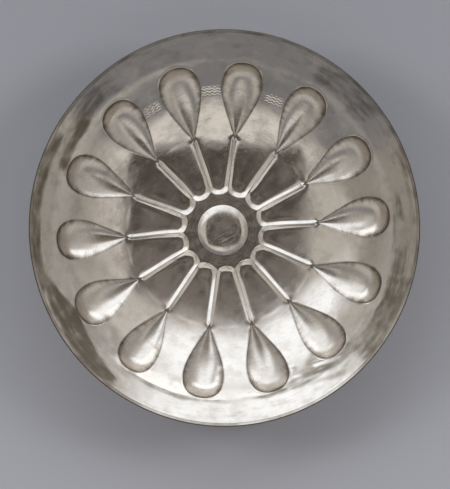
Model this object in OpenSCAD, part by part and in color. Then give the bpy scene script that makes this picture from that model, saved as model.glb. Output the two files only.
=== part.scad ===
// Lobed silver phiale: a shallow libation bowl with an omphalos, radial ribs and drop-shaped lobes.
// Millimetres, +Z up, origin on the resting plane under the middle of the bowl.

/* [Bowl] */
// Diameter over the rim
rim_d = 212; // [206:1:222]
// Height from the resting plane to the top of the rim
bowl_h = 34; // [31:0.5:37]
// Thickness of the hammered sheet
wall = 0.9; // [0.7:0.1:1.2]
// Radius of the flat floor on which the bowl rests
rest_r = 25.5; // [24.5:0.5:27]
// Radius of the shoulder, outside, where the round bowl turns into the plain rim
shoulder_r = 93; // [92:0.5:97]
// Slope of the plain rim, in degrees
rim_slope = 29; // [26:0.5:31]

/* [Omphalos] */
// Radius of the domed cap
omphalos_r = 13.8; // [12.6:0.2:15]
// Height of the dome above the ring
omphalos_h = 4; // [3.2:0.1:6]
// Thickness of the cap
omphalos_wall = 0.9; // [0.7:0.1:1.2]
// Width of the ledge of the ring inside the foot of the cap
seat_w = 1.4; // [0.8:0.1:2]

/* [Ring] */
// Inner reach of the scalloped edge of the ring, from the middle of the bowl
ring_r = 19.4; // [18.4:0.1:20.4]
// Height of the ring above the flat floor
ring_h = 1.1; // [0.9:0.1:1.3]
// Radius of each scallop
scallop_r = 9.4; // [9:0.1:9.8]
// Width of the bevel from the ring down to the floor
ring_bevel = 2.6; // [2.3:0.1:3]

/* [Ribs and lobes] */
// Number of ribs, and of lobes
lobe_count = 14; // [12:1:16]
// Angle of the first rib from +X, in degrees
first_angle = 82; // [0:1:180]
// Height of a rib's crest at the tip of its lobe
rib_tip_h = 0.8; // [0.6:0.1:1]
// Width of a rib at the tip of its lobe
rib_tip_w = 3.6; // [3.2:0.1:4]
// Distance from the middle of the bowl to the pointed tip of a lobe
lobe_tip_r = 52.5; // [50:0.5:55]
// Distance from the middle of the bowl to the middle of a lobe's round end
lobe_mid_r = 80; // [78:0.5:81]
// Width of a lobe
lobe_w = 21.6; // [19:0.2:23]
// Depth of a lobe below the wall
lobe_depth = 5; // [4:0.5:6]

/* [Rim band] */
// Overhang of the band on either side of the sheet's edge
band_lap = 0.1; // [0:0.05:0.3]

/* [Hidden] */
$fn = 96;

// Steps along the round profiles of the dome and the band, and along the straight-sided part of a lobe
curve_steps = 12;
lobe_steps = 3;
// Step along a lobe for reading the lean of its side
nudge = 0.05;
// Height over the wall at which a lobe's axis starts, so that its tip is a little rounded
tip_rise = 0.15;
// Depth by which the straight side of a lobe runs into its round end
touch_sink = 0.3;
// Depth by which a raised form is rooted in the sheet below it
root = 0.6;
// Depth of a rib's crest below the top of the ring where they meet
rib_sink = 0.1;
// Room between the hollow under a rib and the tip of its lobe
groove_end_gap = 4;

// The rim band is half round and sits on the sheet's flat cut edge.
edge_w = wall / sin(rim_slope);
band_w = edge_w + 2 * band_lap;
edge_z = bowl_h - band_w / 2;
edge_r = rim_d / 2 - band_lap;

// The bowl is part of a ball through the edge of the flat floor and the shoulder.
shoulder_z = edge_z - (edge_r - shoulder_r) * tan(rim_slope);
ball_z = (pow(shoulder_r, 2) + pow(shoulder_z, 2) - pow(rest_r, 2)) / (2 * shoulder_z);
outer_ball_r = norm([rest_r, ball_z]);
inner_ball_r = outer_ball_r - wall;
shoulder_slope = asin(shoulder_r / outer_ball_r);

// Height of the inside of the bowl, and its slope, at a distance r from the middle.
function inside_z(r) = ball_z - sqrt(pow(inner_ball_r, 2) - pow(r, 2));
function slope_at(r) = asin(r / inner_ball_r);

// The cap covers the hole in the ring.
ring_top = wall + ring_h;
hole_r = omphalos_r - omphalos_wall - seat_w;

// Scallops of the ring lie on a circle, one between each pair of ribs, and meet at cusps.
lobe_step = 360 / lobe_count;
scallop_mid_r = ring_r + scallop_r;
ring_bevel_angle = atan(ring_h / ring_bevel);
ring_blank_r = scallop_mid_r * cos(lobe_step / 2);
cusp_r = ring_blank_r - sqrt(pow(scallop_r, 2) - pow(scallop_mid_r * sin(lobe_step / 2), 2));

// The crest of a rib is an arc, centred over the middle of the bowl, from a cusp of the ring to a lobe's tip.
crest_start = [cusp_r, ring_top - rib_sink];
crest_end = [lobe_tip_r, inside_z(lobe_tip_r) + rib_tip_h];
crest_mid_z = (crest_end * crest_end - crest_start * crest_start) / (2 * (crest_end[1] - crest_start[1]));
crest_r = norm(crest_end - [0, crest_mid_z]);
rib_bevel_angle = atan(2 * rib_tip_h / rib_tip_w);
rib_start_turn = asin(ring_r / crest_r);
rib_turn = asin(lobe_tip_r / crest_r) - rib_start_turn;
groove_turn = asin((lobe_tip_r - groove_end_gap) / crest_r) - rib_start_turn;

// A lobe is turned about a straight axis that runs from its tip to a point over the middle of its round end.
lobe_ball_r = (pow(lobe_w / 2, 2) + pow(lobe_depth, 2)) / (2 * lobe_depth);
lobe_lift = lobe_ball_r - lobe_depth;
lobe_tip = [lobe_tip_r, inside_z(lobe_tip_r) + tip_rise];
lobe_mid = [
    lobe_mid_r - lobe_lift * sin(slope_at(lobe_mid_r)),
    inside_z(lobe_mid_r) + lobe_lift * cos(slope_at(lobe_mid_r))
];
lobe_reach = norm(lobe_mid - lobe_tip);
lobe_tilt = atan2(lobe_mid[1] - lobe_tip[1], lobe_mid[0] - lobe_tip[0]);
lobe_point_angle = asin(lobe_w / 2 / lobe_reach);
lobe_touch = lobe_reach - lobe_w / 2 * sin(lobe_point_angle);

// Height of a lobe's axis over the inside of the bowl at a distance x along it, measured square to the axis.
function lobe_over(x) =
    let (
        along = [cos(lobe_tilt), sin(lobe_tilt)],
        down = [sin(lobe_tilt), -cos(lobe_tilt)],
        from_ball = lobe_tip + x * along - [0, ball_z],
        sink = from_ball * down
    )
    sqrt(sink * sink - from_ball * from_ball + inner_ball_r * inner_ball_r) - sink;
// Radius of a lobe about its axis: its outline runs straight from the tip to touch its round end.
function lobe_radius(x) = norm([x * tan(lobe_point_angle), lobe_over(x)]);

// Space in a surface that lies "out" outside the bowl's inside, from its flat floor up to the height top_z.
module space_over_wall(out, top_z) {
    ball_r = inner_ball_r + out;
    floor_z = wall - out;
    turn_z = shoulder_z + (wall - out) * cos((shoulder_slope + rim_slope) / 2);
    turn_r = sqrt(pow(ball_r, 2) - pow(ball_z - turn_z, 2));
    rim_low_z = turn_z - root;
    function rim_r(z) = turn_r + (z - turn_z) / tan(rim_slope);
    rotate_extrude() {
        intersection() {
            translate([0, ball_z]) circle(r = ball_r);
            translate([0, floor_z]) square([rim_d, turn_z + root - floor_z]);
        }
        polygon([[0, rim_low_z], [rim_r(rim_low_z), rim_low_z], [rim_r(top_z), top_z], [0, top_z]]);
    }
}

// Turns its children to each rib in turn, or to a share of a step past it.
module at_each_rib(past = 0) {
    for (i = [0:lobe_count - 1])
        rotate(first_angle + (i + past) * lobe_step) children();
}

// Ring with a bevelled, scalloped edge. "out" moves its surface outside the one that is seen from above.
module ring_form(out) {
    top_z = ring_top - out;
    depth = ring_h + root;
    top_r = scallop_r + out * tan(ring_bevel_angle / 2);
    difference() {
        translate([0, 0, top_z - depth]) cylinder(r = ring_blank_r, h = depth);
        at_each_rib(0.5)
            translate([scallop_mid_r, 0, top_z - depth - root])
                cylinder(
                    r1 = top_r - (depth + root) / tan(ring_bevel_angle),
                    r2 = top_r + root / tan(ring_bevel_angle),
                    h = depth + 2 * root
                );
    }
}

// Rib of triangular section along one radius, for "turn" degrees round the middle of its crest's arc.
module rib_form(out, turn) {
    crest = crest_r + out / cos(rib_bevel_angle);
    depth = ring_h + wall + root;
    half = depth / tan(rib_bevel_angle);
    translate([0, 0, crest_mid_z])
        rotate([90, 0, 0])
            rotate(rib_start_turn - 90)
                rotate_extrude(angle = turn)
                    polygon([[crest, 0], [crest + depth, half], [crest + depth, -half]]);
}

// Drop-shaped body of a lobe along one radius, grown by "out" on every side.
module lobe_form(out) {
    round_r = lobe_ball_r + out;
    function lean(x) = atan2(lobe_radius(x + nudge) - lobe_radius(x - nudge), 2 * nudge);
    side = [
        for (i = [1:lobe_steps - 1])
            let (x = lobe_touch * i / lobe_steps)
            [lobe_radius(x) + out * cos(lean(x)), x - out * sin(lean(x))]
    ];
    touch_turn = acos((lobe_reach - lobe_touch) / lobe_ball_r);
    inside_r = round_r - touch_sink;
    touch = [inside_r * sin(touch_turn), lobe_reach - inside_r * cos(touch_turn)];
    tip_lean = atan2(side[0][0] - out, side[0][1]);
    translate([lobe_tip[0], 0, lobe_tip[1]])
        rotate([0, 90 - lobe_tilt, 0])
            rotate_extrude() {
                polygon(concat([[0, -out / sin(tip_lean)]], side, [touch, [0, lobe_reach]]));
                intersection() {
                    translate([0, lobe_reach]) circle(r = round_r);
                    translate([0, lobe_reach - round_r]) square([round_r, 2 * round_r]);
                }
            }
}

// Everything inside the sheet's outer surface, hollow under the ring and the ribs.
module outside_form() {
    difference() {
        difference() {
            union() {
                space_over_wall(wall, edge_z);
                at_each_rib() lobe_form(wall);
            }
            ring_form(wall);
        }
        at_each_rib() rib_form(wall, groove_turn);
    }
}

// Room inside the bowl, over the ring and the ribs.
module inside_form() {
    difference() {
        difference() {
            space_over_wall(0, edge_z + lobe_w);
            ring_form(0);
        }
        at_each_rib() rib_form(0, rib_turn);
    }
}

// Hammered sheet with its ribs, tongues, ring and lobes, pierced under the omphalos.
module bowl() {
    color("#b9b3ab")
    difference() {
        outside_form();
        inside_form();
        at_each_rib() lobe_form(0);
        cylinder(r = hole_r, h = ring_top + root);
    }
}

// Domed cap that stands on the ring, over the hole.
module omphalos() {
    function dome(r, h, i) = [r * sin(90 * i / curve_steps), h * cos(90 * i / curve_steps)];
    outer = [for (i = [0:curve_steps]) dome(omphalos_r, omphalos_h, i)];
    inner = [
        for (i = [curve_steps:-1:0]) dome(omphalos_r - omphalos_wall, omphalos_h - omphalos_wall, i)
    ];
    color("#c9c4bc")
    translate([0, 0, ring_top])
        rotate_extrude() polygon(concat(outer, inner));
}

// Half-round band on the cut edge of the sheet.
module rim_band() {
    half_round = [
        for (i = [0:curve_steps])
            let (turn = 180 * i / curve_steps)
            [edge_r - edge_w / 2 + band_w / 2 * cos(turn), band_w / 2 * sin(turn)]
    ];
    color("#c2bbb0")
    translate([0, 0, edge_z])
        rotate_extrude() polygon(half_round);
}

bowl();
omphalos();
rim_band();
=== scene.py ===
"""Looks of a lobed silver phiale, seen into its inside, on a plain pale floor."""
import math

import bpy
import numpy as np
from mathutils import Matrix, Vector, noise


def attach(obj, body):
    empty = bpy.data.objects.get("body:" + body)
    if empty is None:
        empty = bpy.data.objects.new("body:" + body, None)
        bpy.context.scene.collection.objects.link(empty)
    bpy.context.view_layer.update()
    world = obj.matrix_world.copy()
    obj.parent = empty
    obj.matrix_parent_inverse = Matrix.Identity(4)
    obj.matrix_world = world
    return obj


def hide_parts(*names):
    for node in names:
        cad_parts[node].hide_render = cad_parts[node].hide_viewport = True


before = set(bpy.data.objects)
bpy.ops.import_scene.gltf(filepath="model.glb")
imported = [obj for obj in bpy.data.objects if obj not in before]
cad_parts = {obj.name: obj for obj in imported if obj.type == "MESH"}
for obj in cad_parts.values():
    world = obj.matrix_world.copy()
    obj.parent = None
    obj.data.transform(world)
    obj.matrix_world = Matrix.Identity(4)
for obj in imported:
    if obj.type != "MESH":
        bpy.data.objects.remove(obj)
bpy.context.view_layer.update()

MM = 0.001

# Plain form of the bowl, in millimetres
RIM_R = 106.0
WALL = 0.9
HOLE_R = 11.5
REST_R = 25.5
FLOOR_SOFT = 7.0
BALL_R = 168.83
TURN_R = 92.54
TURN_SOFT = 2.5
RIM_SLOPE = math.tan(math.radians(29))
EDGE_IN_R = 104.05
EDGE_OUT_R = 105.9
EDGE_Z = 32.972
PROFILE_END = 112.0
PROFILE_STEPS = 1121

# Ring round the middle, with a scallop between each pair of ribs
RING_RISE = 1.5
RING_SLOPE = 0.43
RING_SOFT = 0.1
RING_FOOT_SOFT = 0.3
SCALLOP_R = 7.8
SCALLOP_MID_R = 27.2
SCALLOP_FADE = 4.0
BEVEL_REACH = 5.0

# Ribs: roof-shaped, wider at the ring than at the tips of the lobes
LOBES = 14
STEP = 2 * math.pi / LOBES
FIRST_RIB = 82.0
RIB_IN_R = 21.2
RIB_SLOPE = 0.42
RIB_HALF_IN = 2.7
RIB_HALF_OUT = 1.7
CREST_SOFT = 0.1
RIB_FOOT_SOFT = 0.45
RIB_FADE_IN = 1.2
RIB_FADE_OUT = 1.0
UNDER_RIB_SHORT = 3.0
# Degrees by which each hand-made rib strays from an even spacing, anticlockwise from the top
RIB_STRAY = (0.6, -0.3, -0.45, -0.75, -1.15, -0.85, -1.45, 0.1, 0.0, 0.25, 0.0, 0.5, -0.65, -0.4)
# Millimetres by which the ribs' outer ends and the lobes lie off the middle of the rim
PATTERN_X = -0.3
PATTERN_Y = -0.95
PATTERN_IN_R = 30.0

# Lobes: drop-shaped hollows, pointed towards the middle
TIP_R = 52.0
LOBE_MID_R = 81.0
LOBE_END = 9.6
LOBE_HALF = 10.8
LOBE_DEPTH = 4.2
LOBE_DEEP_R = 88.0
LOBE_TAPER = 1.2
LOBE_DROP = 1.8
LOBE_SQUARE = 2.3
LOBE_BOWL = 2.0
LOBE_VARY = 0.035
LIP_SOFT = 0.25
LIP_H = 0.05
LIP_OUT = 0.4
LIP_W = 0.5
LIP_RUN = 3.0
BEAD_R = 1.1
BEAD_H = 0.4
LOBE_SEED = 7
# Least widths for the sums at the tips, farthest reach outside, and the rounder lobes underneath
LEAST_HALF = 0.05
LEAST_GAP_HALF = 1.5
FAR_REACH = 6.0
FOOT_AT_TIP = 0.8
FOOT_SOFT = 0.6
UNDER_REACH = 0.95
UNDER_SOFT = 0.8

# Hammer marks: size, height and seed of the broad and of the small ones, and how seeds move them
BROAD_DENT = 9.0
BROAD_DENT_H = 0.035
BROAD_SEED = 1
SMALL_DENT = 4.0
SMALL_DENT_H = 0.015
SMALL_SEED = 2
SEED_SHIFT = (17.3, 5.1, 9.7)
DENT_RUN = 2.0
# Knocks in the wall: x and y of both ends in millimetres, half-width and height
KNOCKS = {
    "crease": (47.7, -72.8, 61.2, -68.5, 1.2, 0.12),
    "hollow_under_crease": (46.5, -76.0, 60.0, -72.0, 1.6, -0.12),
    "long_hollow": (40.2, -83.6, 62.8, -76.1, 2.0, -0.10),
    "pit_left": (35.9, -75.0, 36.9, -75.0, 1.2, -0.14),
    "pit_middle": (46.7, -76.6, 47.7, -76.0, 1.3, 0.14),
    "pit_low": (38.6, -80.9, 39.6, -80.5, 1.4, 0.12),
    "left_ridge": (-84.0, -23.0, -80.0, -36.0, 1.5, 0.10),
    "lower_left_ridge": (-61.0, -56.0, -60.5, -64.0, 2.2, 0.12),
}

# Grid of the sheet: columns over half a step, and those of them up to the foot of a rib or lobe
HALF_COLS = 19
FOOT_COLS = 11
PAST_POWER = 1.5
WALL_POWER = 1.3
# Rows in each zone, from the hole to the edge
INSIDE_ROWS = {
    "seat": 4,
    "joint": 7,
    "ring": 7,
    "bevel": 9,
    "tongue": 30,
    "lobe": 44,
    "end": 18,
    "wall": 10,
    "rim": 12,
}
OUTSIDE_ROWS = {
    "seat": 1,
    "joint": 1,
    "ring": 1,
    "bevel": 4,
    "tongue": 9,
    "lobe": 13,
    "end": 6,
    "wall": 3,
    "rim": 2,
}
SEAT_END = 13.5
JOINT_END = 15.6


def soft_max(a, b, soft):
    return (a + b + np.sqrt((a - b) ** 2 + soft ** 2)) / 2


def soft_min(a, b, soft):
    return (a + b - np.sqrt((a - b) ** 2 + soft ** 2)) / 2


def smooth_step(low, high, value):
    share = np.clip((value - low) / (high - low), 0, 1)
    return share * share * (3 - 2 * share)


def hump(value, middle, width):
    return np.exp(-((value - middle) / width) ** 2)


def plain_profile():
    """Distances from the middle, slopes and heights along the plain inside."""
    r = np.linspace(0, PROFILE_END, PROFILE_STEPS)
    slope = r / np.sqrt(BALL_R ** 2 - r ** 2)
    slope = slope * smooth_step(REST_R - FLOOR_SOFT, REST_R + FLOOR_SOFT, r)
    slope = slope + (RIM_SLOPE - slope) * smooth_step(TURN_R - TURN_SOFT, TURN_R + TURN_SOFT, r)
    rise = np.concatenate([[0], np.cumsum((slope[1:] + slope[:-1]) / 2 * np.diff(r))])
    rise = rise * (EDGE_Z - WALL) / np.interp(EDGE_IN_R, r, rise)
    return r, np.arctan(slope), WALL + rise


PROFILE_R, PROFILE_SLOPE, PROFILE_Z = plain_profile()


def wall_z(r):
    return np.interp(r, PROFILE_R, PROFILE_Z)


def wall_slope(r):
    return np.interp(r, PROFILE_R, PROFILE_SLOPE)


def rib_half(r):
    share = np.clip((r - RIB_IN_R) / (TIP_R - RIB_IN_R), 0, 1)
    return RIB_HALF_IN + (RIB_HALF_OUT - RIB_HALF_IN) * share


def lobe_half(r, width):
    """Half-width of a lobe from its tip to the middle of its round end."""
    p = np.clip((r - TIP_R) / (LOBE_MID_R - TIP_R), 0, 1)
    bulge = LOBE_TAPER * p + (3 - 2 * LOBE_TAPER) * p ** 2 + (LOBE_TAPER - 2) * p ** 3
    return width * LOBE_HALF * bulge


def foot_half(r, width):
    """Half-width that the columns follow: the foot of a rib, then the outline of a lobe."""
    rib_r = np.maximum(r, RIB_IN_R)
    rib = rib_half(rib_r) * r / rib_r
    return np.where(r < TIP_R, rib, soft_max(rib * FOOT_AT_TIP, lobe_half(r, width), FOOT_SOFT))


def ring_edge(past_mid):
    """Distance from the middle to the ring's scalloped edge, by angle past the middle of a tongue."""
    across = SCALLOP_MID_R * np.sin(past_mid)
    return SCALLOP_MID_R * np.cos(past_mid) - np.sqrt(SCALLOP_R ** 2 - across ** 2)


def lobe_reach(r, across, width):
    """0 on the middle line of a lobe, 1 on its outline, more outside it."""
    taper = np.abs(across) / np.maximum(lobe_half(r, width), LEAST_HALF)
    along = np.clip((r - LOBE_MID_R) / LOBE_END, 0, None)
    side = np.abs(across) / (width * LOBE_HALF)
    end = (along ** LOBE_SQUARE + side ** LOBE_SQUARE) ** (1 / LOBE_SQUARE)
    return np.where(r < LOBE_MID_R, taper, end)


def lobe_depth(r, reach, soft):
    """Depth of a lobe below the wall, with a softened lip."""
    share = np.clip((r - TIP_R) / (LOBE_DEEP_R - TIP_R), 0, 1)
    deep = LOBE_DEPTH * (1 - (1 - share) ** LOBE_DROP)
    hollow = 1 - np.minimum(reach, FAR_REACH) ** LOBE_BOWL
    return soft_max(deep * hollow, 0, soft * np.minimum(deep, 1))


def ripple(points, size, seed):
    """Gentle hammered unevenness, about -1 to 1, for points in millimetres."""
    shift = Vector([seed * part for part in SEED_SHIFT])
    return np.array([noise.noise(Vector(p) / size + shift) for p in points])


def knock_height(points):
    """Height of the knocks at points in millimetres."""
    total = np.zeros(len(points))
    for start_x, start_y, end_x, end_y, width, height in KNOCKS.values():
        run = np.array([end_x - start_x, end_y - start_y])
        past = points[:, :2] - (start_x, start_y)
        share = np.clip(past @ run / (run @ run), 0, 1)
        off = past - share[:, None] * run
        total = total + height * hump(np.hypot(off[:, 0], off[:, 1]), 0, width)
    return total


def columns():
    """Angle of each column's rib, half-step beside it, side, share of the half-step, and lobe index."""
    ribs = [math.radians(FIRST_RIB + stray) + STEP * i for i, stray in enumerate(RIB_STRAY)]
    rows = []
    for i, rib in enumerate(ribs):
        before = (rib - ribs[i - 1]) % (2 * math.pi) / 2
        after = (ribs[(i + 1) % LOBES] - rib) % (2 * math.pi) / 2
        for c in range(-HALF_COLS, HALF_COLS):
            rows.append((rib, before if c < 0 else after, -1 if c < 0 else 1, abs(c) / HALF_COLS, i))
    return [np.array(column) for column in zip(*rows)]


RIB, HALF, SIDE, SHARE, LOBE = columns()
rng = np.random.default_rng(LOBE_SEED)
LOBE_WIDTH = (1 + LOBE_VARY * rng.uniform(-1, 1, LOBES))[LOBE]
FOOT_SHARE = FOOT_COLS / HALF_COLS
IN_FOOT = SHARE <= FOOT_SHARE
FOOT_T = (1 - np.cos(np.clip(SHARE / FOOT_SHARE, 0, 1) * math.pi)) / 2
PAST_T = np.clip((SHARE - FOOT_SHARE) / (1 - FOOT_SHARE), 0, 1) ** PAST_POWER


def spread(r):
    """Angle of each column past its rib at the distance r from the middle."""
    foot = foot_half(r, LOBE_WIDTH) / r
    return np.where(IN_FOOT, foot * FOOT_T, foot + (HALF - foot) * PAST_T)


def place_rows(counts):
    """Distance from the middle and angle past the rib of every grid point, row by row."""
    rows = []
    inner = spread(np.full_like(SHARE, RIB_IN_R))
    edge = ring_edge((HALF - inner) * (STEP / 2) / HALF)
    foot = edge + BEVEL_REACH
    inner_zones = {
        "seat": (HOLE_R, SEAT_END),
        "joint": (SEAT_END, JOINT_END),
        "ring": (JOINT_END, edge),
        "bevel": (edge, foot),
    }
    for zone, (start, end) in inner_zones.items():
        for t in np.linspace(0, 1, counts[zone], endpoint=False):
            rows.append((start + (end - start) * t + 0 * SHARE, inner))
    for t in np.linspace(0, 1, counts["tongue"], endpoint=False):
        r = foot + (TIP_R - foot) * t
        rows.append((r, spread(r)))
    for t in np.linspace(0, 1, counts["lobe"], endpoint=False):
        r = TIP_R + (LOBE_MID_R - TIP_R) * t + 0 * SHARE
        rows.append((r, spread(r)))
    for i in range(counts["end"] + 1):
        b = math.sin(math.pi / 2 * i / counts["end"])
        across = FOOT_T * math.sqrt(1 - b * b / 2)
        along = b * np.sqrt(1 - FOOT_T ** 2 / 2)
        turn = np.arctan2(along, across)
        square = (np.cos(turn) ** LOBE_SQUARE + np.sin(turn) ** LOBE_SQUARE) ** (-1 / LOBE_SQUARE)
        past_r = LOBE_MID_R + b * LOBE_END
        r = LOBE_MID_R + along * square * LOBE_END
        r = np.where(IN_FOOT, r, r + (past_r - r) * PAST_T)
        angle = across * square * LOBE_WIDTH * LOBE_HALF / r
        angle = np.where(IN_FOOT, angle, angle + (HALF - angle) * PAST_T)
        rows.append((r, angle))
    last_r, last_angle = rows[-1]
    plain = HALF * SHARE
    for i in range(1, counts["wall"] + 1):
        t = (i / counts["wall"]) ** WALL_POWER
        rows.append((last_r + (TURN_R - last_r) * t, last_angle + (plain - last_angle) * t))
    for i in range(1, counts["rim"] + 1):
        rows.append((TURN_R + (EDGE_IN_R - TURN_R) * i / counts["rim"] + 0 * SHARE, plain))
    return np.array([r for r, angle in rows]), np.array([angle for r, angle in rows])


def lobe_gap(r, reach):
    """Distance of a point from the outline of its lobe, less than 0 inside it."""
    return (reach - 1) * np.maximum(lobe_half(r, LOBE_WIDTH), LEAST_GAP_HALF)


def relief(r, angle, under):
    """Height of ring, ribs and beads over the wall less the lobes' depth, and reach in the lobe."""
    across = r * angle
    past_mid = (HALF - angle) * (STEP / 2) / HALF
    to_mid = np.sqrt(r ** 2 + SCALLOP_MID_R ** 2 - 2 * SCALLOP_MID_R * r * np.cos(past_mid))
    fading = smooth_step(SCALLOP_MID_R - SCALLOP_FADE, SCALLOP_MID_R, r)
    beyond = SCALLOP_R - to_mid + SCALLOP_FADE * fading
    beyond = np.where(r < SCALLOP_MID_R, beyond, SCALLOP_R)
    beyond = np.where(r < JOINT_END, -SCALLOP_R, beyond)
    ring = soft_min(RING_RISE - beyond * RING_SLOPE, RING_RISE, RING_SOFT)
    half = rib_half(r)
    crest = RIB_SLOPE * (np.sqrt(half ** 2 + CREST_SOFT ** 2) - np.sqrt(across ** 2 + CREST_SOFT ** 2))
    rib_end = TIP_R - UNDER_RIB_SHORT if under else TIP_R
    fade = smooth_step(rib_end + RIB_FADE_OUT, rib_end - RIB_FADE_IN, r)
    crest = crest * fade - (1 - fade)
    raised = soft_max(soft_max(ring, 0, RING_FOOT_SOFT), crest, RIB_FOOT_SOFT)
    reach = lobe_reach(r, across, LOBE_WIDTH)
    if under:
        return raised - lobe_depth(r, reach * UNDER_REACH, UNDER_SOFT), reach
    bead = BEAD_H * np.exp(-((r - TIP_R) ** 2 + across ** 2) / BEAD_R ** 2)
    lip = LIP_H * hump(lobe_gap(r, reach), LIP_OUT, LIP_W) * smooth_step(TIP_R, TIP_R + LIP_RUN, r)
    return raised - lobe_depth(r, reach, LIP_SOFT) + bead + lip, reach


# Ovalness of the hand-raised bowl, and the waves of its rim: count, phase and height
OVAL = 0.0088
WAVES = {"two": (2, 0.7, 0.35), "three": (3, 2.1, 0.25), "seven": (7, 0.4, 0.12)}


def warp(points):
    """Points of the true bowl, in millimetres, moved as the hand-raised one is."""
    out = points.copy()
    r = np.hypot(points[:, 0], points[:, 1])
    turn = np.arctan2(points[:, 1], points[:, 0])
    grow = (r / RIM_R) ** 2
    out[:, 0] *= 1 - OVAL * grow
    out[:, 1] *= 1 + OVAL * grow
    wave = sum(height * np.sin(count * turn + phase) for count, phase, height in WAVES.values())
    out[:, 2] += wave * grow ** 2
    return out


def over_wall(r, angle, height):
    """Points at a height over the wall, measured square to it."""
    turn = RIB + SIDE * angle
    off = smooth_step(PATTERN_IN_R, TIP_R, r) * smooth_step(TURN_R, LOBE_MID_R + LOBE_END, r)
    x = r * np.cos(turn) + PATTERN_X * off
    y = r * np.sin(turn) + PATTERN_Y * off
    r = np.hypot(x, y)
    turn = np.arctan2(y, x)
    slope = wall_slope(r)
    reach = r - np.sin(slope) * height
    z = wall_z(r) + np.cos(slope) * height
    return np.stack([reach * np.cos(turn), reach * np.sin(turn), z], axis=-1)


def ring_points(r, z, turns):
    """Points of a level ring."""
    return np.stack([r * np.cos(turns), r * np.sin(turns), np.full(len(turns), z)], axis=-1)


def band_faces(rows, cols, closed):
    """Quads between each ring of points and the next."""
    ring = np.arange(cols)
    faces = []
    for i in range(rows if closed else rows - 1):
        here = i * cols + ring
        there = (i + 1) % rows * cols + ring
        faces.append(np.stack([here, there, np.roll(there, -1), np.roll(here, -1)], axis=-1))
    return np.concatenate(faces).tolist()


def sharpen(mesh, rows, cols):
    """Keeps a crisp corner along the given rings of points."""
    ends = np.zeros(len(mesh.edges) * 2, dtype=np.int32)
    mesh.edges.foreach_get("vertices", ends)
    ring = ends.reshape(-1, 2) // cols
    crisp = (ring[:, 0] == ring[:, 1]) & np.isin(ring[:, 0], rows)
    mesh.edges.foreach_set("use_edge_sharp", crisp)


def make_piece(name, points, faces, material, node, crisp_rows, cols):
    mesh = bpy.data.meshes.new(name)
    mesh.from_pydata((points * MM).tolist(), [], faces)
    mesh.update()
    mesh.shade_smooth()
    sharpen(mesh, crisp_rows, cols)
    mesh.materials.append(material)
    piece = bpy.data.objects.new(name, mesh)
    bpy.context.scene.collection.objects.link(piece)
    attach(piece, "root")
    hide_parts(node)
    return piece


# Colours of the silver, from polished to tarnished; the brown and the dark one also paint shade
SILVER = (0.81, 0.755, 0.69, 1)
DULL = (0.69, 0.64, 0.59, 1)
STAIN = (0.52, 0.46, 0.39, 1)
BROWN = (0.21, 0.182, 0.145, 1)
DARK = (0.12, 0.095, 0.075, 1)
# Noise in the silver: waves per metre, detail and, where it isn't a half, roughness
CLOUD = (70.0, 4.0, 0.55)
STAINS = (120.0, 3.0, 0.55)
GRAIN = (1100.0, 2.0)
DIMPLE = (330.0, 2.0)
WORN = (60.0, 3.0)
BROKEN = (140.0, 2.0)
WOBBLE = (260.0, 2.0)
# Streaks round the axis: waves over a turn and per metre outwards
STREAKS = (14.0, 2600.0)
HAZE = (5.0, 170.0)
RUBBED = (9.0, 420.0)
TURNED = (5.0, 1900.0)
STREAK_DETAIL = 2.0
# Scratches from wiping: direction in radians, length and width in metres
WIPES = (0.5, 0.05, 0.0006)
SCRATCHES = (0.42, 0.006, 0.0006)
WIPE_DETAIL = 3.0
# Share of the streaks and of the scratches in the fine marks
FINE_PART = 0.5
# Part of each noise that shows, and how far it then changes the colour
CLOUD_RANGE = (0.38, 0.68)
CLOUD_SHARE = 0.5
STAIN_RANGE = (0.48, 0.70)
STAIN_SHARE = 0.4
FINE_RANGE = (0.46, 0.72)
FINE_SHARE = 0.2
WORN_RANGE = (0.35, 0.65)
WORN_SHARE = (0.35, 0.75)
TURNED_RANGE = (0.40, 0.75)
TURNED_SHARE = 0.6
MARK_RANGE = (0.1, -0.9)
MARK_SHARE = 0.4
LINE_SHARE = 0.6
# How the noise breaks up the tarnish
BROKEN_PART = 0.9
RUBBED_PART = 1.5
UNEVEN_MEAN = 1.2
TARNISH_RANGE = (0.10, 1.5)
# Roughness of the polish, roughness in its clouds, and what each kind of wear adds
ROUGH_POLISH = 0.06
ROUGH_CLOUD = 0.14
ROUGH_FINE = 0.10
ROUGH_FINE_RANGE = (0.46, 0.70)
ROUGH_HAZE = 0.06
ROUGH_HAZE_RANGE = (0.46, 0.66)
ROUGH_TARNISH = 0.08
ROUGH_SATIN = 0.12
ROUGH_SCRATCH = 0.34
ROUGH_CAP = 0.08
# Bump: share of each kind of mark in its height, share left on satin, strength and depth in metres
FINE_BUMP = 0.2
GRAIN_BUMP = 0.06
DIMPLE_BUMP = 0.2
SATIN_BUMP = 0.15
TURNED_BUMP = 0.9
MARK_BUMP = 1.5
BUMP_STRENGTH = 0.5
BUMP_DEPTH = 0.00004
# Punched marks: distance between their rows in metres, waves round the bowl, swing and stray
MARK_STEP = 0.0015
MARK_WAVES = 170.0
MARK_SWING = 1.3
MARK_STRAY = 5.0
# Scratched patch on the cap: its middle, and where it begins and is whole, in metres
PATCH_MID = (0.0015, -0.003, 0.0055)
PATCH_RANGE = (0.0085, 0.003)
SCRATCH_RANGE = (0.50, 0.62)


def put(tree, kind, links=None, **settings):
    """Adds a node, with numbers on its sockets or links from other nodes' outputs."""
    node = tree.nodes.new(kind)
    for key, value in settings.items():
        setattr(node, key, value)
    for key, value in (links or {}).items():
        socket = node.inputs[key]
        if isinstance(value, bpy.types.NodeSocket):
            tree.links.new(value, socket)
        else:
            socket.default_value = value
    return node


def calc(tree, operation, a, b=0.0):
    return put(tree, "ShaderNodeMath", {0: a, 1: b}, operation=operation).outputs[0]


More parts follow.
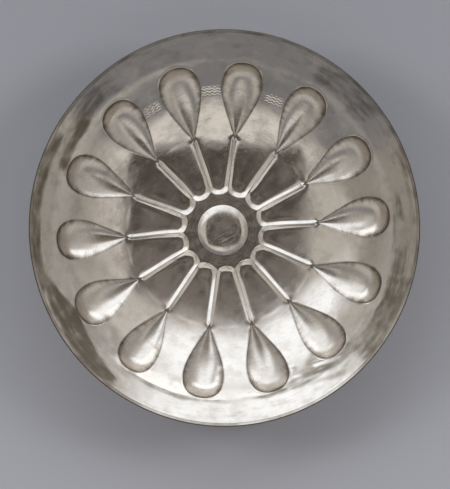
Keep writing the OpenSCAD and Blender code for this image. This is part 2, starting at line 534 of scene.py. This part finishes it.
def times(tree, a, b):
    return calc(tree, "MULTIPLY", a, b)


def plus(tree, a, b):
    return calc(tree, "ADD", a, b)


def ramp(tree, value, low, high, to_low=0.0, to_high=1.0):
    links = {"Value": value, "From Min": low, "From Max": high, "To Min": to_low, "To Max": to_high}
    return put(tree, "ShaderNodeMapRange", links, interpolation_type="SMOOTHSTEP").outputs["Result"]


def blend(tree, share, a, b):
    return put(tree, "ShaderNodeMix", {0: share, 6: a, 7: b}, data_type="RGBA").outputs[2]


def speckle(tree, vector, scale, detail, rough=0.5):
    links = {"Vector": vector, "Scale": scale, "Detail": detail, "Roughness": rough}
    return put(tree, "ShaderNodeTexNoise", links).outputs["Fac"]


def attribute(tree, name):
    return put(tree, "ShaderNodeAttribute", attribute_name=name).outputs["Fac"]


def from_axis(tree, coords):
    """Direction from the bowl's axis, and distance from it."""
    parts = put(tree, "ShaderNodeSeparateXYZ", {0: coords})
    level = put(tree, "ShaderNodeCombineXYZ", {0: parts.outputs[0], 1: parts.outputs[1]}).outputs[0]
    length = put(tree, "ShaderNodeVectorMath", {0: level}, operation="LENGTH").outputs["Value"]
    return put(tree, "ShaderNodeVectorMath", {0: level}, operation="NORMALIZE").outputs[0], length


def round_streaks(tree, coords, turns, rings):
    """Noise drawn out round the bowl's axis, as from rubbing it round and round."""
    turn, length = from_axis(tree, coords)
    turn = put(tree, "ShaderNodeVectorMath", {0: turn, "Scale": turns}, operation="SCALE").outputs[0]
    out = put(tree, "ShaderNodeSeparateXYZ", {0: turn})
    links = {0: out.outputs[0], 1: out.outputs[1], 2: times(tree, length, rings)}
    vector = put(tree, "ShaderNodeCombineXYZ", links).outputs[0]
    return speckle(tree, vector, 1.0, STREAK_DETAIL)


def slant_scratches(tree, coords, turn, along, across):
    """Noise drawn out in one direction, as from wiping."""
    links = {"Vector": coords, "Rotation": (0, 0, turn), "Scale": (along, across, across)}
    vector = put(tree, "ShaderNodeMapping", links, vector_type="TEXTURE").outputs[0]
    return speckle(tree, vector, 1.0, WIPE_DETAIL)


def silver(name, marked=False, scratched=False, band=False):
    """Worn silver: satin polish, cloudy patches, brown tarnish that also carries painted shade, and fine
    scratches.
    """
    material = bpy.data.materials.new(name)
    material.use_nodes = True
    tree = material.node_tree
    shader = tree.nodes["Principled BSDF"]
    shader.inputs["Metallic"].default_value = 1.0
    coords = put(tree, "ShaderNodeTexCoord").outputs["Object"]
    cloud = ramp(tree, speckle(tree, coords, *CLOUD), *CLOUD_RANGE)
    streaks = round_streaks(tree, coords, *STREAKS)
    wipes = slant_scratches(tree, coords, *WIPES)
    fine = plus(tree, times(tree, streaks, FINE_PART), times(tree, wipes, FINE_PART))
    stain = ramp(tree, speckle(tree, coords, *STAINS), *STAIN_RANGE, 0.0, STAIN_SHARE)
    colour = blend(tree, times(tree, cloud, CLOUD_SHARE), SILVER, DULL)
    colour = blend(tree, stain, colour, STAIN)
    colour = blend(tree, ramp(tree, fine, *FINE_RANGE, 0.0, FINE_SHARE), colour, STAIN)
    rough = ramp(tree, cloud, 0.0, 1.0, ROUGH_POLISH, ROUGH_CLOUD)
    rough = plus(tree, rough, ramp(tree, fine, *ROUGH_FINE_RANGE, 0.0, ROUGH_FINE))
    haze = ramp(tree, round_streaks(tree, coords, *HAZE), *ROUGH_HAZE_RANGE, 0.0, ROUGH_HAZE)
    rough = plus(tree, rough, haze)
    grain = times(tree, speckle(tree, coords, *GRAIN), GRAIN_BUMP)
    height = plus(tree, times(tree, fine, FINE_BUMP), grain)
    height = plus(tree, height, times(tree, speckle(tree, coords, *DIMPLE), DIMPLE_BUMP))
    if band:
        worn = ramp(tree, speckle(tree, coords, *WORN), *WORN_RANGE, *WORN_SHARE)
        # Painted shade: the band's rounded edge turns brown, as do its worn patches
        colour = blend(tree, calc(tree, "MAXIMUM", worn, attribute(tree, "edge")), colour, BROWN)
    if marked:
        broken = times(tree, speckle(tree, coords, *BROKEN), BROKEN_PART)
        rubbed = times(tree, round_streaks(tree, coords, *RUBBED), RUBBED_PART)
        uneven = calc(tree, "SUBTRACT", plus(tree, broken, rubbed), UNEVEN_MEAN)
        # Brown from the tarnish layer: real tarnish, and painted shade inside the lobes
        patchy = ramp(tree, plus(tree, attribute(tree, "tarnish_and_shade"), uneven), *TARNISH_RANGE)
        colour = blend(tree, patchy, colour, BROWN)
        colour = blend(tree, times(tree, attribute(tree, "line"), LINE_SHARE), colour, DARK)
        rough = plus(tree, rough, times(tree, patchy, ROUGH_TARNISH))
        satin = attribute(tree, "satin")
        rough = plus(tree, rough, times(tree, satin, ROUGH_SATIN))
        height = times(tree, height, ramp(tree, satin, 0.0, 1.0, 1.0, SATIN_BUMP))
        turned = times(tree, attribute(tree, "turned"), round_streaks(tree, coords, *TURNED))
        height = plus(tree, height, times(tree, turned, TURNED_BUMP))
        colour = blend(tree, ramp(tree, turned, *TURNED_RANGE, 0.0, TURNED_SHARE), colour, BROWN)
        turn, length = from_axis(tree, coords)
        sides = put(tree, "ShaderNodeSeparateXYZ", {0: turn})
        angle = calc(tree, "ARCTAN2", sides.outputs[1], sides.outputs[0])
        swing = times(tree, calc(tree, "SINE", times(tree, angle, MARK_WAVES)), MARK_SWING)
        wobble = plus(tree, swing, times(tree, speckle(tree, coords, *WOBBLE), MARK_STRAY))
        phase = plus(tree, times(tree, length, 2 * math.pi / MARK_STEP), wobble)
        marks = times(tree, attribute(tree, "marks"), calc(tree, "SINE", phase))
        height = plus(tree, height, times(tree, marks, MARK_BUMP))
        colour = blend(tree, ramp(tree, marks, *MARK_RANGE, 0.0, MARK_SHARE), colour, BROWN)
    if scratched:
        links = {0: coords, 1: PATCH_MID}
        spot = put(tree, "ShaderNodeVectorMath", links, operation="DISTANCE")
        near = ramp(tree, spot.outputs["Value"], *PATCH_RANGE)
        bright = ramp(tree, slant_scratches(tree, coords, *SCRATCHES), *SCRATCH_RANGE)
        rough = plus(tree, rough, times(tree, times(tree, bright, near), ROUGH_SCRATCH))
        rough = plus(tree, rough, times(tree, cloud, ROUGH_CAP))
    tree.links.new(colour, shader.inputs["Base Color"])
    tree.links.new(rough, shader.inputs["Roughness"])
    links = {"Height": height, "Strength": BUMP_STRENGTH, "Distance": BUMP_DEPTH}
    bump = put(tree, "ShaderNodeBump", links)
    tree.links.new(bump.outputs[0], shader.inputs["Normal"])
    return material


def paint(mesh, name, values):
    layer = mesh.attributes.new(name, "FLOAT", "POINT")
    layer.data.foreach_set("value", values.astype(np.float32))


# Tarnish: first and last angle in degrees, inner and outer edge at the first, then at the last, strength
TARNISH = {
    "upper_left_blot": (132, 146, 94.0, 104.0, 93.0, 103.0, 1.0),
    "left_arc": (141, 161, 91.5, 97.0, 91.0, 96.0, 1.25),
    "left_edge": (150, 200, 99.0, 105.0, 100.0, 105.0, 1.1),
    "upper_left_rim": (127, 154, 93.0, 106.0, 95.0, 106.0, 0.55),
    "wedge_start": (193, 211, 100.0, 101.5, 89.5, 104.0, 1.25),
    "wedge_end": (207, 234, 89.5, 103.0, 99.0, 106.0, 1.35),
    "right_streak": (3, 11, 93.5, 97.5, 93.5, 97.0, 1.0),
    "right_line": (352, 368, 91.8, 93.4, 91.8, 93.4, 0.8),
    "right_blot": (344, 354, 93.0, 100.0, 93.0, 100.0, 0.9),
    "right_edge": (335, 385, 100.0, 104.5, 100.0, 104.5, 0.55),
    "lower_right": (316, 345, 93.0, 105.0, 93.0, 105.0, 1.1),
    "upper_right": (36, 60, 94.0, 104.5, 93.0, 104.5, 0.7),
    "top_edge": (60, 132, 102.0, 104.5, 102.0, 104.5, 0.4),
    "fold_left": (232, 262, 90.8, 94.0, 91.8, 94.4, 1.1),
    "fold_middle": (262, 272, 91.8, 93.8, 91.8, 93.8, 1.0),
    "fold_right": (280, 292, 91.0, 93.5, 91.0, 94.0, 1.1),
    "lower_smudge": (292, 320, 88.5, 94.5, 90.0, 97.0, 0.8),
}
TARNISH_SOFT_TURN = 2.5
TARNISH_SOFT = 1.3
# Thinner tarnish over the rim and on the underside; the brown inside the lobes along their flanks and
# ends is painted shade as well as tarnish
RIM_TARNISH = 0.25
RIM_TARNISH_R = (88.0, 103.0)
FLANK_SHADE_TARNISH = 0.75
FLANK_R = (TIP_R + 2, LOBE_MID_R - 10)
END_SHADE_TARNISH = 0.35
END_R = (LOBE_MID_R - 8, LOBE_MID_R + 4)
LOBE_SHADE_IN = -4.0
LOBE_SHADE_OUT = 0.8
UNDER_TARNISH = 0.5
# Punched marks between the upper lobes: middle angle and half-width, in degrees
MARKS = {"right": (68.5, 3.6), "middle": (95.0, 3.8), "left": (120.5, 3.6)}
MARKS_SOFT_TURN = 0.6
MARKS_R = 76.3
MARKS_HALF = 2.2
MARKS_SOFT = 0.5
# Dark lines: along the lobes' outlines, round the cap's foot as painted shade on its lower-left side
# only, and along the ribs' feet
OUTLINE_GAP = -0.1
OUTLINE_W = 0.5
JOINT_SHADE_SHARE = 0.8
JOINT_SHADE_R = 14.15
JOINT_SHADE_W = 0.22
JOINT_SHADE_TURN = 235.0
JOINT_SHADE_FADE = (90.0, 30.0)
FOOT_LINE_SHARE = 0.25
FOOT_LINE_W = 0.3
FOOT_LINE_R = (TIP_R, TIP_R - 2)
# Satin inside the lobes, more at their ends, and turning marks on the ring
LOBE_START_R = (TIP_R - 0.5, TIP_R + 1)
SATIN_GAP = (0.3, -0.3)
SATIN_END_R = (LOBE_MID_R - 2, LOBE_MID_R + LOBE_END)
TURNED_R = (24.0, 20.0)


def turn_gap(turn, middle):
    return (turn - middle + 180) % 360 - 180


def tarnish_and_shade_at(r, turn, gap):
    """How tarnished each point of the inside is, in patches and over the rim, with painted shade along
    the inside of the lobes' outlines.
    """
    total = RIM_TARNISH * smooth_step(*RIM_TARNISH_R, r)
    for first, last, in_first, out_first, in_last, out_last, strength in TARNISH.values():
        share = np.clip(turn_gap(turn, first) / (last - first), 0, 1)
        inner = in_first + (in_last - in_first) * share
        outer = out_first + (out_last - out_first) * share
        within = smooth_step(-TARNISH_SOFT_TURN, TARNISH_SOFT_TURN, turn_gap(turn, first))
        within = within * smooth_step(-TARNISH_SOFT_TURN, TARNISH_SOFT_TURN, turn_gap(last, turn))
        within = within * smooth_step(-TARNISH_SOFT, TARNISH_SOFT, r - inner)
        within = within * smooth_step(-TARNISH_SOFT, TARNISH_SOFT, outer - r)
        total = np.maximum(total, strength * within)
    # Painted shade: brown inside each lobe's outline, stronger along the flanks and at the outer end
    lobe_edge_shade = smooth_step(LOBE_SHADE_IN, 0, gap) * smooth_step(LOBE_SHADE_OUT, 0, gap)
    strength = FLANK_SHADE_TARNISH * smooth_step(*FLANK_R, r) + END_SHADE_TARNISH * smooth_step(*END_R, r)
    return np.maximum(total, strength * lobe_edge_shade)


def dark_lines(r, angle, turn, gap, in_lobes):
    """How dark the chased lines and the joint of the cap are; the joint's line is painted shade, faded
    out away from the cap's lower-left side.
    """
    outline = in_lobes * hump(gap, OUTLINE_GAP, OUTLINE_W)
    # Painted shade: the joint line is dark only on the cap's lower-left side
    shaded = smooth_step(*JOINT_SHADE_FADE, np.abs(turn_gap(turn, JOINT_SHADE_TURN)))
    joint = JOINT_SHADE_SHARE * hump(r, JOINT_SHADE_R, JOINT_SHADE_W) * shaded
    on_rib = smooth_step(*FOOT_LINE_R, r) * (r > RIB_IN_R)
    foot = FOOT_LINE_SHARE * hump(np.abs(r * angle), rib_half(r), FOOT_LINE_W) * on_rib
    return outline + joint + foot


def punched_marks(r, turn, gap):
    """Where the punched marks lie, outside the lobes."""
    total = 0 * r
    for middle, half in MARKS.values():
        past = np.abs(turn_gap(turn, middle))
        total = total + smooth_step(half + MARKS_SOFT_TURN, half - MARKS_SOFT_TURN, past)
    in_rows = smooth_step(MARKS_HALF + MARKS_SOFT, MARKS_HALF - MARKS_SOFT, np.abs(r - MARKS_R))
    return total * in_rows * (gap > 0)


def inside_layers(r, angle, reach):
    """Values that the material of the sheet reads, at each point of the inside."""
    turn = np.degrees(RIB + SIDE * angle)
    gap = lobe_gap(r, reach)
    in_lobes = smooth_step(*LOBE_START_R, r)
    return {
        "line": dark_lines(r, angle, turn, gap, in_lobes),
        "tarnish_and_shade": tarnish_and_shade_at(r, turn, gap),
        "marks": punched_marks(r, turn, gap),
        "satin": in_lobes * smooth_step(*SATIN_GAP, gap) * (1 + smooth_step(*SATIN_END_R, r)),
        "turned": smooth_step(*TURNED_R, r),
    }


def sheet_piece():
    """The hammered sheet, closed round the hole and at the rim."""
    r, angle = place_rows(INSIDE_ROWS)
    height, reach = relief(r, angle, under=False)
    inside = over_wall(r, angle, height).reshape(-1, 3)
    dents = BROAD_DENT_H * ripple(inside, BROAD_DENT, BROAD_SEED)
    dents = dents + SMALL_DENT_H * ripple(inside, SMALL_DENT, SMALL_SEED)
    past_joint = smooth_step(SEAT_END, JOINT_END + DENT_RUN, r.reshape(-1))
    inside[:, 2] += dents * past_joint + knock_height(inside)
    out_r, out_angle = place_rows(OUTSIDE_ROWS)
    outside = over_wall(out_r, out_angle, relief(out_r, out_angle, under=True)[0] - WALL)
    widen = EDGE_OUT_R / EDGE_IN_R
    outside[-1] = over_wall(out_r[-1], out_angle[-1], 0 * SHARE) * (widen, widen, 1)
    points = np.concatenate([inside, outside[::-1].reshape(-1, 3)])
    cols = len(SHARE)
    faces = band_faces(len(r) + len(out_r), cols, closed=True)
    material = silver("silver_sheet", marked=True)
    crisp = [0, len(r) - 1, len(r), len(r) + len(out_r) - 1]
    piece = make_piece("bowl_sheet", warp(points), faces, material, "bowl", crisp, cols)
    for name, values in inside_layers(r, angle, reach).items():
        whole = np.zeros(len(points))
        whole[:r.size] = values.reshape(-1)
        if name == "tarnish_and_shade":
            whole[r.size:] = UNDER_TARNISH
        paint(piece.data, name, whole)


sheet_piece()

# Omphalos: a low dome, flatter in the middle
CAP_R = 13.8
CAP_ROWS = 26
CAP_COLS = 180
CAP_FOOT_Z = WALL + soft_max(RING_RISE, 0, RING_FOOT_SOFT)
CAP_LIP = 0.4
CAP_MAX_SLOPE = math.tan(math.radians(26))
CAP_REF_R = 9.4
CAP_REF_SLOPE = math.tan(math.radians(15.3))
CAP_POWER = 1.9
CAP_SLOPE_SOFT = 0.05
CAP_LEAST_Z = CAP_FOOT_Z + 0.05
CAP_DENT = 5.0
CAP_DENT_H = 0.03
CAP_SEED = 3


def dome_profile():
    """Distances from the middle to the edge of the dome, and its height over the edge at each."""
    r = np.linspace(0, CAP_R, CAP_ROWS + 1)
    slope = CAP_REF_SLOPE * (r / CAP_REF_R) ** CAP_POWER
    slope = soft_min(slope, CAP_MAX_SLOPE, CAP_SLOPE_SOFT)
    fall = np.concatenate([[0], np.cumsum((slope[1:] + slope[:-1]) / 2 * np.diff(r))])
    return r, fall[-1] - fall


def cap_piece():
    """The domed cap, standing on the ring."""
    r, rise = dome_profile()
    turns = np.linspace(0, 2 * math.pi, CAP_COLS, endpoint=False)
    top = CAP_FOOT_Z + CAP_LIP + rise
    rows = [ring_points(r[i], top[i], turns) for i in range(1, CAP_ROWS + 1)]
    rows.append(ring_points(CAP_R, CAP_FOOT_Z, turns))
    rows.append(ring_points(CAP_R - WALL, CAP_FOOT_Z, turns))
    shrink = (CAP_R - WALL) / CAP_R
    for i in range(CAP_ROWS, 0, -1):
        rows.append(ring_points(r[i] * shrink, max(top[i] - WALL, CAP_LEAST_Z), turns))
    points = np.concatenate(rows)
    on_dome = points[:, 2] > CAP_FOOT_Z + CAP_LIP
    points[:, 2] += CAP_DENT_H * ripple(points, CAP_DENT, CAP_SEED) * on_dome
    middle = len(points)
    points = np.concatenate([points, [[0, 0, top[0]], [0, 0, top[0] - WALL]]])
    faces = band_faces(len(rows), CAP_COLS, closed=False)
    last = (len(rows) - 1) * CAP_COLS
    for j in range(CAP_COLS):
        k = (j + 1) % CAP_COLS
        faces.append([middle, j, k])
        faces.append([middle + 1, last + k, last + j])
    material = silver("silver_cap", scratched=True)
    crisp = [CAP_ROWS - 1, CAP_ROWS, CAP_ROWS + 1]
    make_piece("omphalos_cap", points, faces, material, "omphalos", crisp, CAP_COLS)


cap_piece()

# Rim band: its inner side runs on from the bowl, its outer side is rounded and painted brown as shade
BAND_COLS = 420
BAND_STEPS = 8
BAND_ROUND = 0.45
BAND_EASE = 0.15
BAND_BEND = math.radians(90) + math.atan(RIM_SLOPE)
BAND_SHADE_ROWS = (0.5, 3.0)


def band_section():
    """Distances from the middle and heights round the band, from its inner corner over the top."""
    mid_r = RIM_R - BAND_ROUND
    run = mid_r + BAND_ROUND * math.cos(BAND_BEND) - EDGE_IN_R
    mid_z = EDGE_Z + run * RIM_SLOPE - BAND_ROUND * math.sin(BAND_BEND)
    eased = run - BAND_EASE
    section = [(EDGE_IN_R, EDGE_Z), (EDGE_IN_R + eased, EDGE_Z + eased * RIM_SLOPE)]
    for bend in np.linspace(BAND_BEND, 0, BAND_STEPS + 1):
        section.append((mid_r + BAND_ROUND * math.cos(bend), mid_z + BAND_ROUND * math.sin(bend)))
    return section + [(RIM_R, EDGE_Z)]


def band_piece():
    """The band soldered on the cut edge of the sheet."""
    turns = np.linspace(0, 2 * math.pi, BAND_COLS, endpoint=False)
    rows = [ring_points(r, z, turns) for r, z in band_section()]
    points = warp(np.concatenate(rows))
    faces = band_faces(len(rows), BAND_COLS, closed=True)
    material = silver("silver_band", band=True)
    crisp = [0, len(rows) - 1]
    name = "rim_band_ring"
    piece = make_piece(name, points, faces, material, "rim_band", crisp, BAND_COLS)
    # Painted shade: brown over the band's rounded rows, carried by the edge layer
    worn = smooth_step(*BAND_SHADE_ROWS, np.arange(len(rows)))
    paint(piece.data, "edge", np.repeat(worn, BAND_COLS))


band_piece()

# Floor with painted light: darker beyond the bowl and lighter on the near side, as a painted fall-off of
# the light
FLOOR_HALF = 6.0
FLOOR_PAINTED_DIM = (0.345, 0.35, 0.385, 1)
FLOOR_PAINTED_LIT = (0.45, 0.455, 0.495, 1)
FLOOR_LIGHT_FALLOFF = (0.16, -0.18)
FLOOR_ROUGH = 0.9
FLOOR_GLOSS = 0.1
floor_mesh = bpy.data.meshes.new("floor")
corners = [(-FLOOR_HALF, -FLOOR_HALF, 0), (FLOOR_HALF, -FLOOR_HALF, 0)]
corners += [(FLOOR_HALF, FLOOR_HALF, 0), (-FLOOR_HALF, FLOOR_HALF, 0)]
floor_mesh.from_pydata(corners, [], [(0, 1, 2, 3)])
floor = bpy.data.objects.new("floor", floor_mesh)
scene = bpy.context.scene
scene.collection.objects.link(floor)
floor_paper = bpy.data.materials.new("floor_paper")
floor_paper.use_nodes = True
sweep = floor_paper.node_tree
paper = sweep.nodes["Principled BSDF"]
spot = put(sweep, "ShaderNodeSeparateXYZ", {0: put(sweep, "ShaderNodeTexCoord").outputs["Object"]})
# Painted light: the floor's colour goes from dim beyond the bowl to lit on the near side
floor_painted_light = blend(sweep, ramp(sweep, spot.outputs[1], *FLOOR_LIGHT_FALLOFF), FLOOR_PAINTED_DIM, FLOOR_PAINTED_LIT)
sweep.links.new(floor_painted_light, paper.inputs["Base Color"])
paper.inputs["Roughness"].default_value = FLOOR_ROUGH
paper.inputs["Specular IOR Level"].default_value = FLOOR_GLOSS
floor_mesh.materials.append(floor_paper)

# Studio round the bowl, as the silver mirrors it: a dark ceiling, paler walls and a large soft box
CEILING_DARK = (0.086, 0.076, 0.070, 1)
CEILING_PALE = (0.212, 0.196, 0.184, 1)
WALL_WEST = (0.55, 0.534, 0.507, 1)
WALL_EAST = (0.65, 0.632, 0.608, 1)
GLOW = (0.78, 0.765, 0.74, 1)
LOW_SIDE = (0.315, 0.30, 0.275, 1)
LOW_BACK = (0.212, 0.213, 0.228, 1)
HORIZON = (0.40, 0.393, 0.385, 1)
HORIZON_SOUTH = (0.54, 0.522, 0.495, 1)
SOFTBOX = (1.24, 1.31, 1.40, 1)
SOFTBOX_LOW = (1.45, 1.50, 1.56, 1)
# Least height of a direction for its runs to the east and north, which are for a rise of one
LEAST_UP = 0.08
# Where each part begins and where it is whole, as a run or as the height of a direction of length one
CEILING_WEST = (-0.58, -0.48)
CEILING_EAST = (0.82, 0.72)
CEILING_SOUTH = (-0.55, -0.52)
CEILING_NORTH = (0.90, 0.62)
CEILING_SLANT = 0.24
CEILING_NOISE = (8.0, 3.0)
CEILING_RANGE = (0.36, 0.66)
CEILING_PALER = 0.3
WALLS_MEET = (-0.4, 0.4)
GLOW_NORTH = (-0.40, -0.55)
GLOW_ASIDE = (1.2, 0.8)
EAST_UP = (0.78, 0.57)
EAST_SIDE = (-0.2, 0.2)
EAST_TILT = 0.024
CORNER_NORTH = (-0.30, -0.60)
CORNER_EAST = (0.5, 0.9)
CORNER_UP = (0.550, 0.580)
CORNER_LIFT = 0.025
WEST_UP = (0.69, 0.62)
WEST_SIDE = (0.2, -0.2)
WEST_NORTH = (0.05, -0.35)
WEST_DROP = -0.10
SIDES_NORTH = (0.90, 0.30)
BACK_UP = (0.748, 0.708)
BACK_NORTH = (-0.38, -0.62)
BACK_TILT = 0.02
BACK_CORNER = 0.5
BACK_SLANT = 0.3
HORIZON_UP = (0.57, 0.47)
HORIZON_NORTH = (-0.2, -0.9)
BOX_SLANT = 0.65
BOX_SLANT_EAST = -0.1
BOX_WEST = (-1.10, -0.80)
BOX_EAST = (0.95, 0.55)
BOX_SOUTH = (0.70, 0.98)
BOX_NORTH = (2.0, 1.35)
BOX_NARROW_UP = (0.62, 0.52)
BOX_NARROW = 0.35
BOX_LOW_ASIDE = (1.25, 0.85)
BOX_LOW_SPREAD = 0.75
BOX_LOW_BOTTOM = (0.02, 0.16)
BOX_LOW_TOP = (0.52, 0.47)
BOX_LOW_WEST = (-0.6, -1.0)
BOX_LOW_DROP = 0.06
BOX_LOW_SOUTH = (0.54, 0.92)
scene.view_settings.view_transform = "Standard"
world = bpy.data.worlds.new("studio")
scene.world = world
world.use_nodes = True
sky = world.node_tree
direction = put(sky, "ShaderNodeTexCoord").outputs["Generated"]
axes = put(sky, "ShaderNodeSeparateXYZ", {0: direction})
up = axes.outputs[2]
above = calc(sky, "MAXIMUM", up, LEAST_UP)
east = calc(sky, "DIVIDE", axes.outputs[0], above)
north = calc(sky, "DIVIDE", axes.outputs[1], above)
to_side = calc(sky, "ABSOLUTE", east)

# Walls, with a glow in the south
shade = blend(sky, ramp(sky, east, *WALLS_MEET), WALL_WEST, WALL_EAST)
glow = times(sky, ramp(sky, north, *GLOW_NORTH), ramp(sky, to_side, *GLOW_ASIDE))
shade = blend(sky, glow, shade, GLOW)

# Darker lower parts of the walls
corner = times(sky, ramp(sky, north, *CORNER_NORTH), ramp(sky, east, *CORNER_EAST))
corner = times(sky, corner, ramp(sky, up, *CORNER_UP))
east_up = plus(sky, plus(sky, up, times(sky, east, EAST_TILT)), times(sky, corner, CORNER_LIFT))
low_east = times(sky, ramp(sky, east_up, *EAST_UP), ramp(sky, east, *EAST_SIDE))
west_up = plus(sky, up, ramp(sky, north, *WEST_NORTH, 0.0, WEST_DROP))
low_west = times(sky, ramp(sky, west_up, *WEST_UP), ramp(sky, east, *WEST_SIDE))
low_side = times(sky, plus(sky, low_east, low_west), ramp(sky, north, *SIDES_NORTH))
shade = blend(sky, low_side, shade, LOW_SIDE)
far_east = calc(sky, "MAXIMUM", calc(sky, "SUBTRACT", east, BACK_CORNER), 0.0)
back = plus(sky, north, times(sky, far_east, BACK_SLANT))
back_up = plus(sky, up, times(sky, east, BACK_TILT))
low_back = times(sky, ramp(sky, back_up, *BACK_UP), ramp(sky, back, *BACK_NORTH))
shade = blend(sky, low_back, shade, LOW_BACK)

# Ceiling, mottled and paler towards the soft box, whose near edge is slanted in the west
west_part = calc(sky, "MAXIMUM", calc(sky, "SUBTRACT", BOX_SLANT_EAST, east), 0.0)
east_part = calc(sky, "MAXIMUM", calc(sky, "SUBTRACT", east, BOX_SLANT_EAST), 0.0)
box_edge = plus(sky, north, times(sky, west_part, BOX_SLANT))
ceiling_edge = plus(sky, box_edge, times(sky, east_part, CEILING_SLANT))
in_east = times(sky, ramp(sky, east, *CEILING_WEST), ramp(sky, east, *CEILING_EAST))
in_north = times(sky, ramp(sky, north, *CEILING_SOUTH), ramp(sky, ceiling_edge, *CEILING_NORTH))
mottle = plus(sky, speckle(sky, direction, *CEILING_NOISE), times(sky, north, CEILING_PALER))
ceiling = blend(sky, ramp(sky, mottle, *CEILING_RANGE), CEILING_DARK, CEILING_PALE)
shade = blend(sky, times(sky, in_east, in_north), shade, ceiling)

# Horizon, brighter in the south
horizon = blend(sky, ramp(sky, north, *HORIZON_NORTH), HORIZON, HORIZON_SOUTH)
shade = blend(sky, ramp(sky, up, *HORIZON_UP), shade, horizon)

# Soft box in the north, narrower and brighter low down
box_west = calc(sky, "SUBTRACT", east, ramp(sky, up, *BOX_NARROW_UP, 0.0, BOX_NARROW))
box_high = times(sky, ramp(sky, box_west, *BOX_WEST), ramp(sky, east, *BOX_EAST))
box_high = times(sky, box_high, ramp(sky, box_edge, *BOX_SOUTH))
box_high = times(sky, box_high, ramp(sky, north, *BOX_NORTH))
aside = calc(sky, "SUBTRACT", to_side, times(sky, north, BOX_LOW_SPREAD))
box_low = times(sky, ramp(sky, aside, *BOX_LOW_ASIDE), ramp(sky, up, *BOX_LOW_BOTTOM))
box_top = plus(sky, up, ramp(sky, east, *BOX_LOW_WEST, 0.0, BOX_LOW_DROP))
box_low = times(sky, box_low, ramp(sky, box_top, *BOX_LOW_TOP))
slanted = calc(sky, "SUBTRACT", north, times(sky, east, BOX_SLANT))
box_low = times(sky, box_low, ramp(sky, slanted, *BOX_LOW_SOUTH))
box = calc(sky, "MAXIMUM", box_high, box_low)
shade = blend(sky, box, shade, blend(sky, box_low, SOFTBOX, SOFTBOX_LOW))
sky.links.new(shade, sky.nodes["Background"].inputs["Color"])
sky.nodes["Background"].inputs["Strength"].default_value = 1.0

# Two soft lamps for the shadows on the floor: place and size in metres, power in watts
KEY_EAST = 1.45
KEY_NORTH = 0.38
KEY_UP = 0.98
KEY_SIZE = 0.6
KEY_POWER = 9.4
for side in (-1, 1):
    key_data = bpy.data.lights.new("key", "AREA")
    key_data.size = KEY_SIZE
    key_data.energy = KEY_POWER
    key = bpy.data.objects.new("key", key_data)
    scene.collection.objects.link(key)
    place = Vector((side * KEY_EAST, KEY_NORTH, KEY_UP))
    key.location = place
    key.rotation_euler = place.to_track_quat("Z", "Y").to_euler()
    key.visible_glossy = False

# Camera over the bowl, a little towards its near left side
SENSOR = 36
VIEW_LEAN = Vector((-0.039, -0.046, 1)).normalized()
AIM = Vector((1.08, -8.05, 6.5)) * MM
# Height of the picture at the rim in millimetres, and metres to the aim and from there up to the rim
VIEW_MM = 262.4
VIEW_FAR = 1.4
RIM_RISE = 0.026
camera_data = bpy.data.cameras.new("camera")
camera_data.sensor_width = SENSOR
camera_data.lens = SENSOR * (VIEW_FAR - RIM_RISE) / (VIEW_MM * MM)
camera = bpy.data.objects.new("camera", camera_data)
scene.collection.objects.link(camera)
right = Vector((0, 1, 0)).cross(VIEW_LEAN).normalized()
axes_matrix = Matrix((right, VIEW_LEAN.cross(right), VIEW_LEAN)).transposed().to_4x4()
camera.matrix_world = Matrix.Translation(AIM + VIEW_LEAN * VIEW_FAR) @ axes_matrix
scene.camera = camera
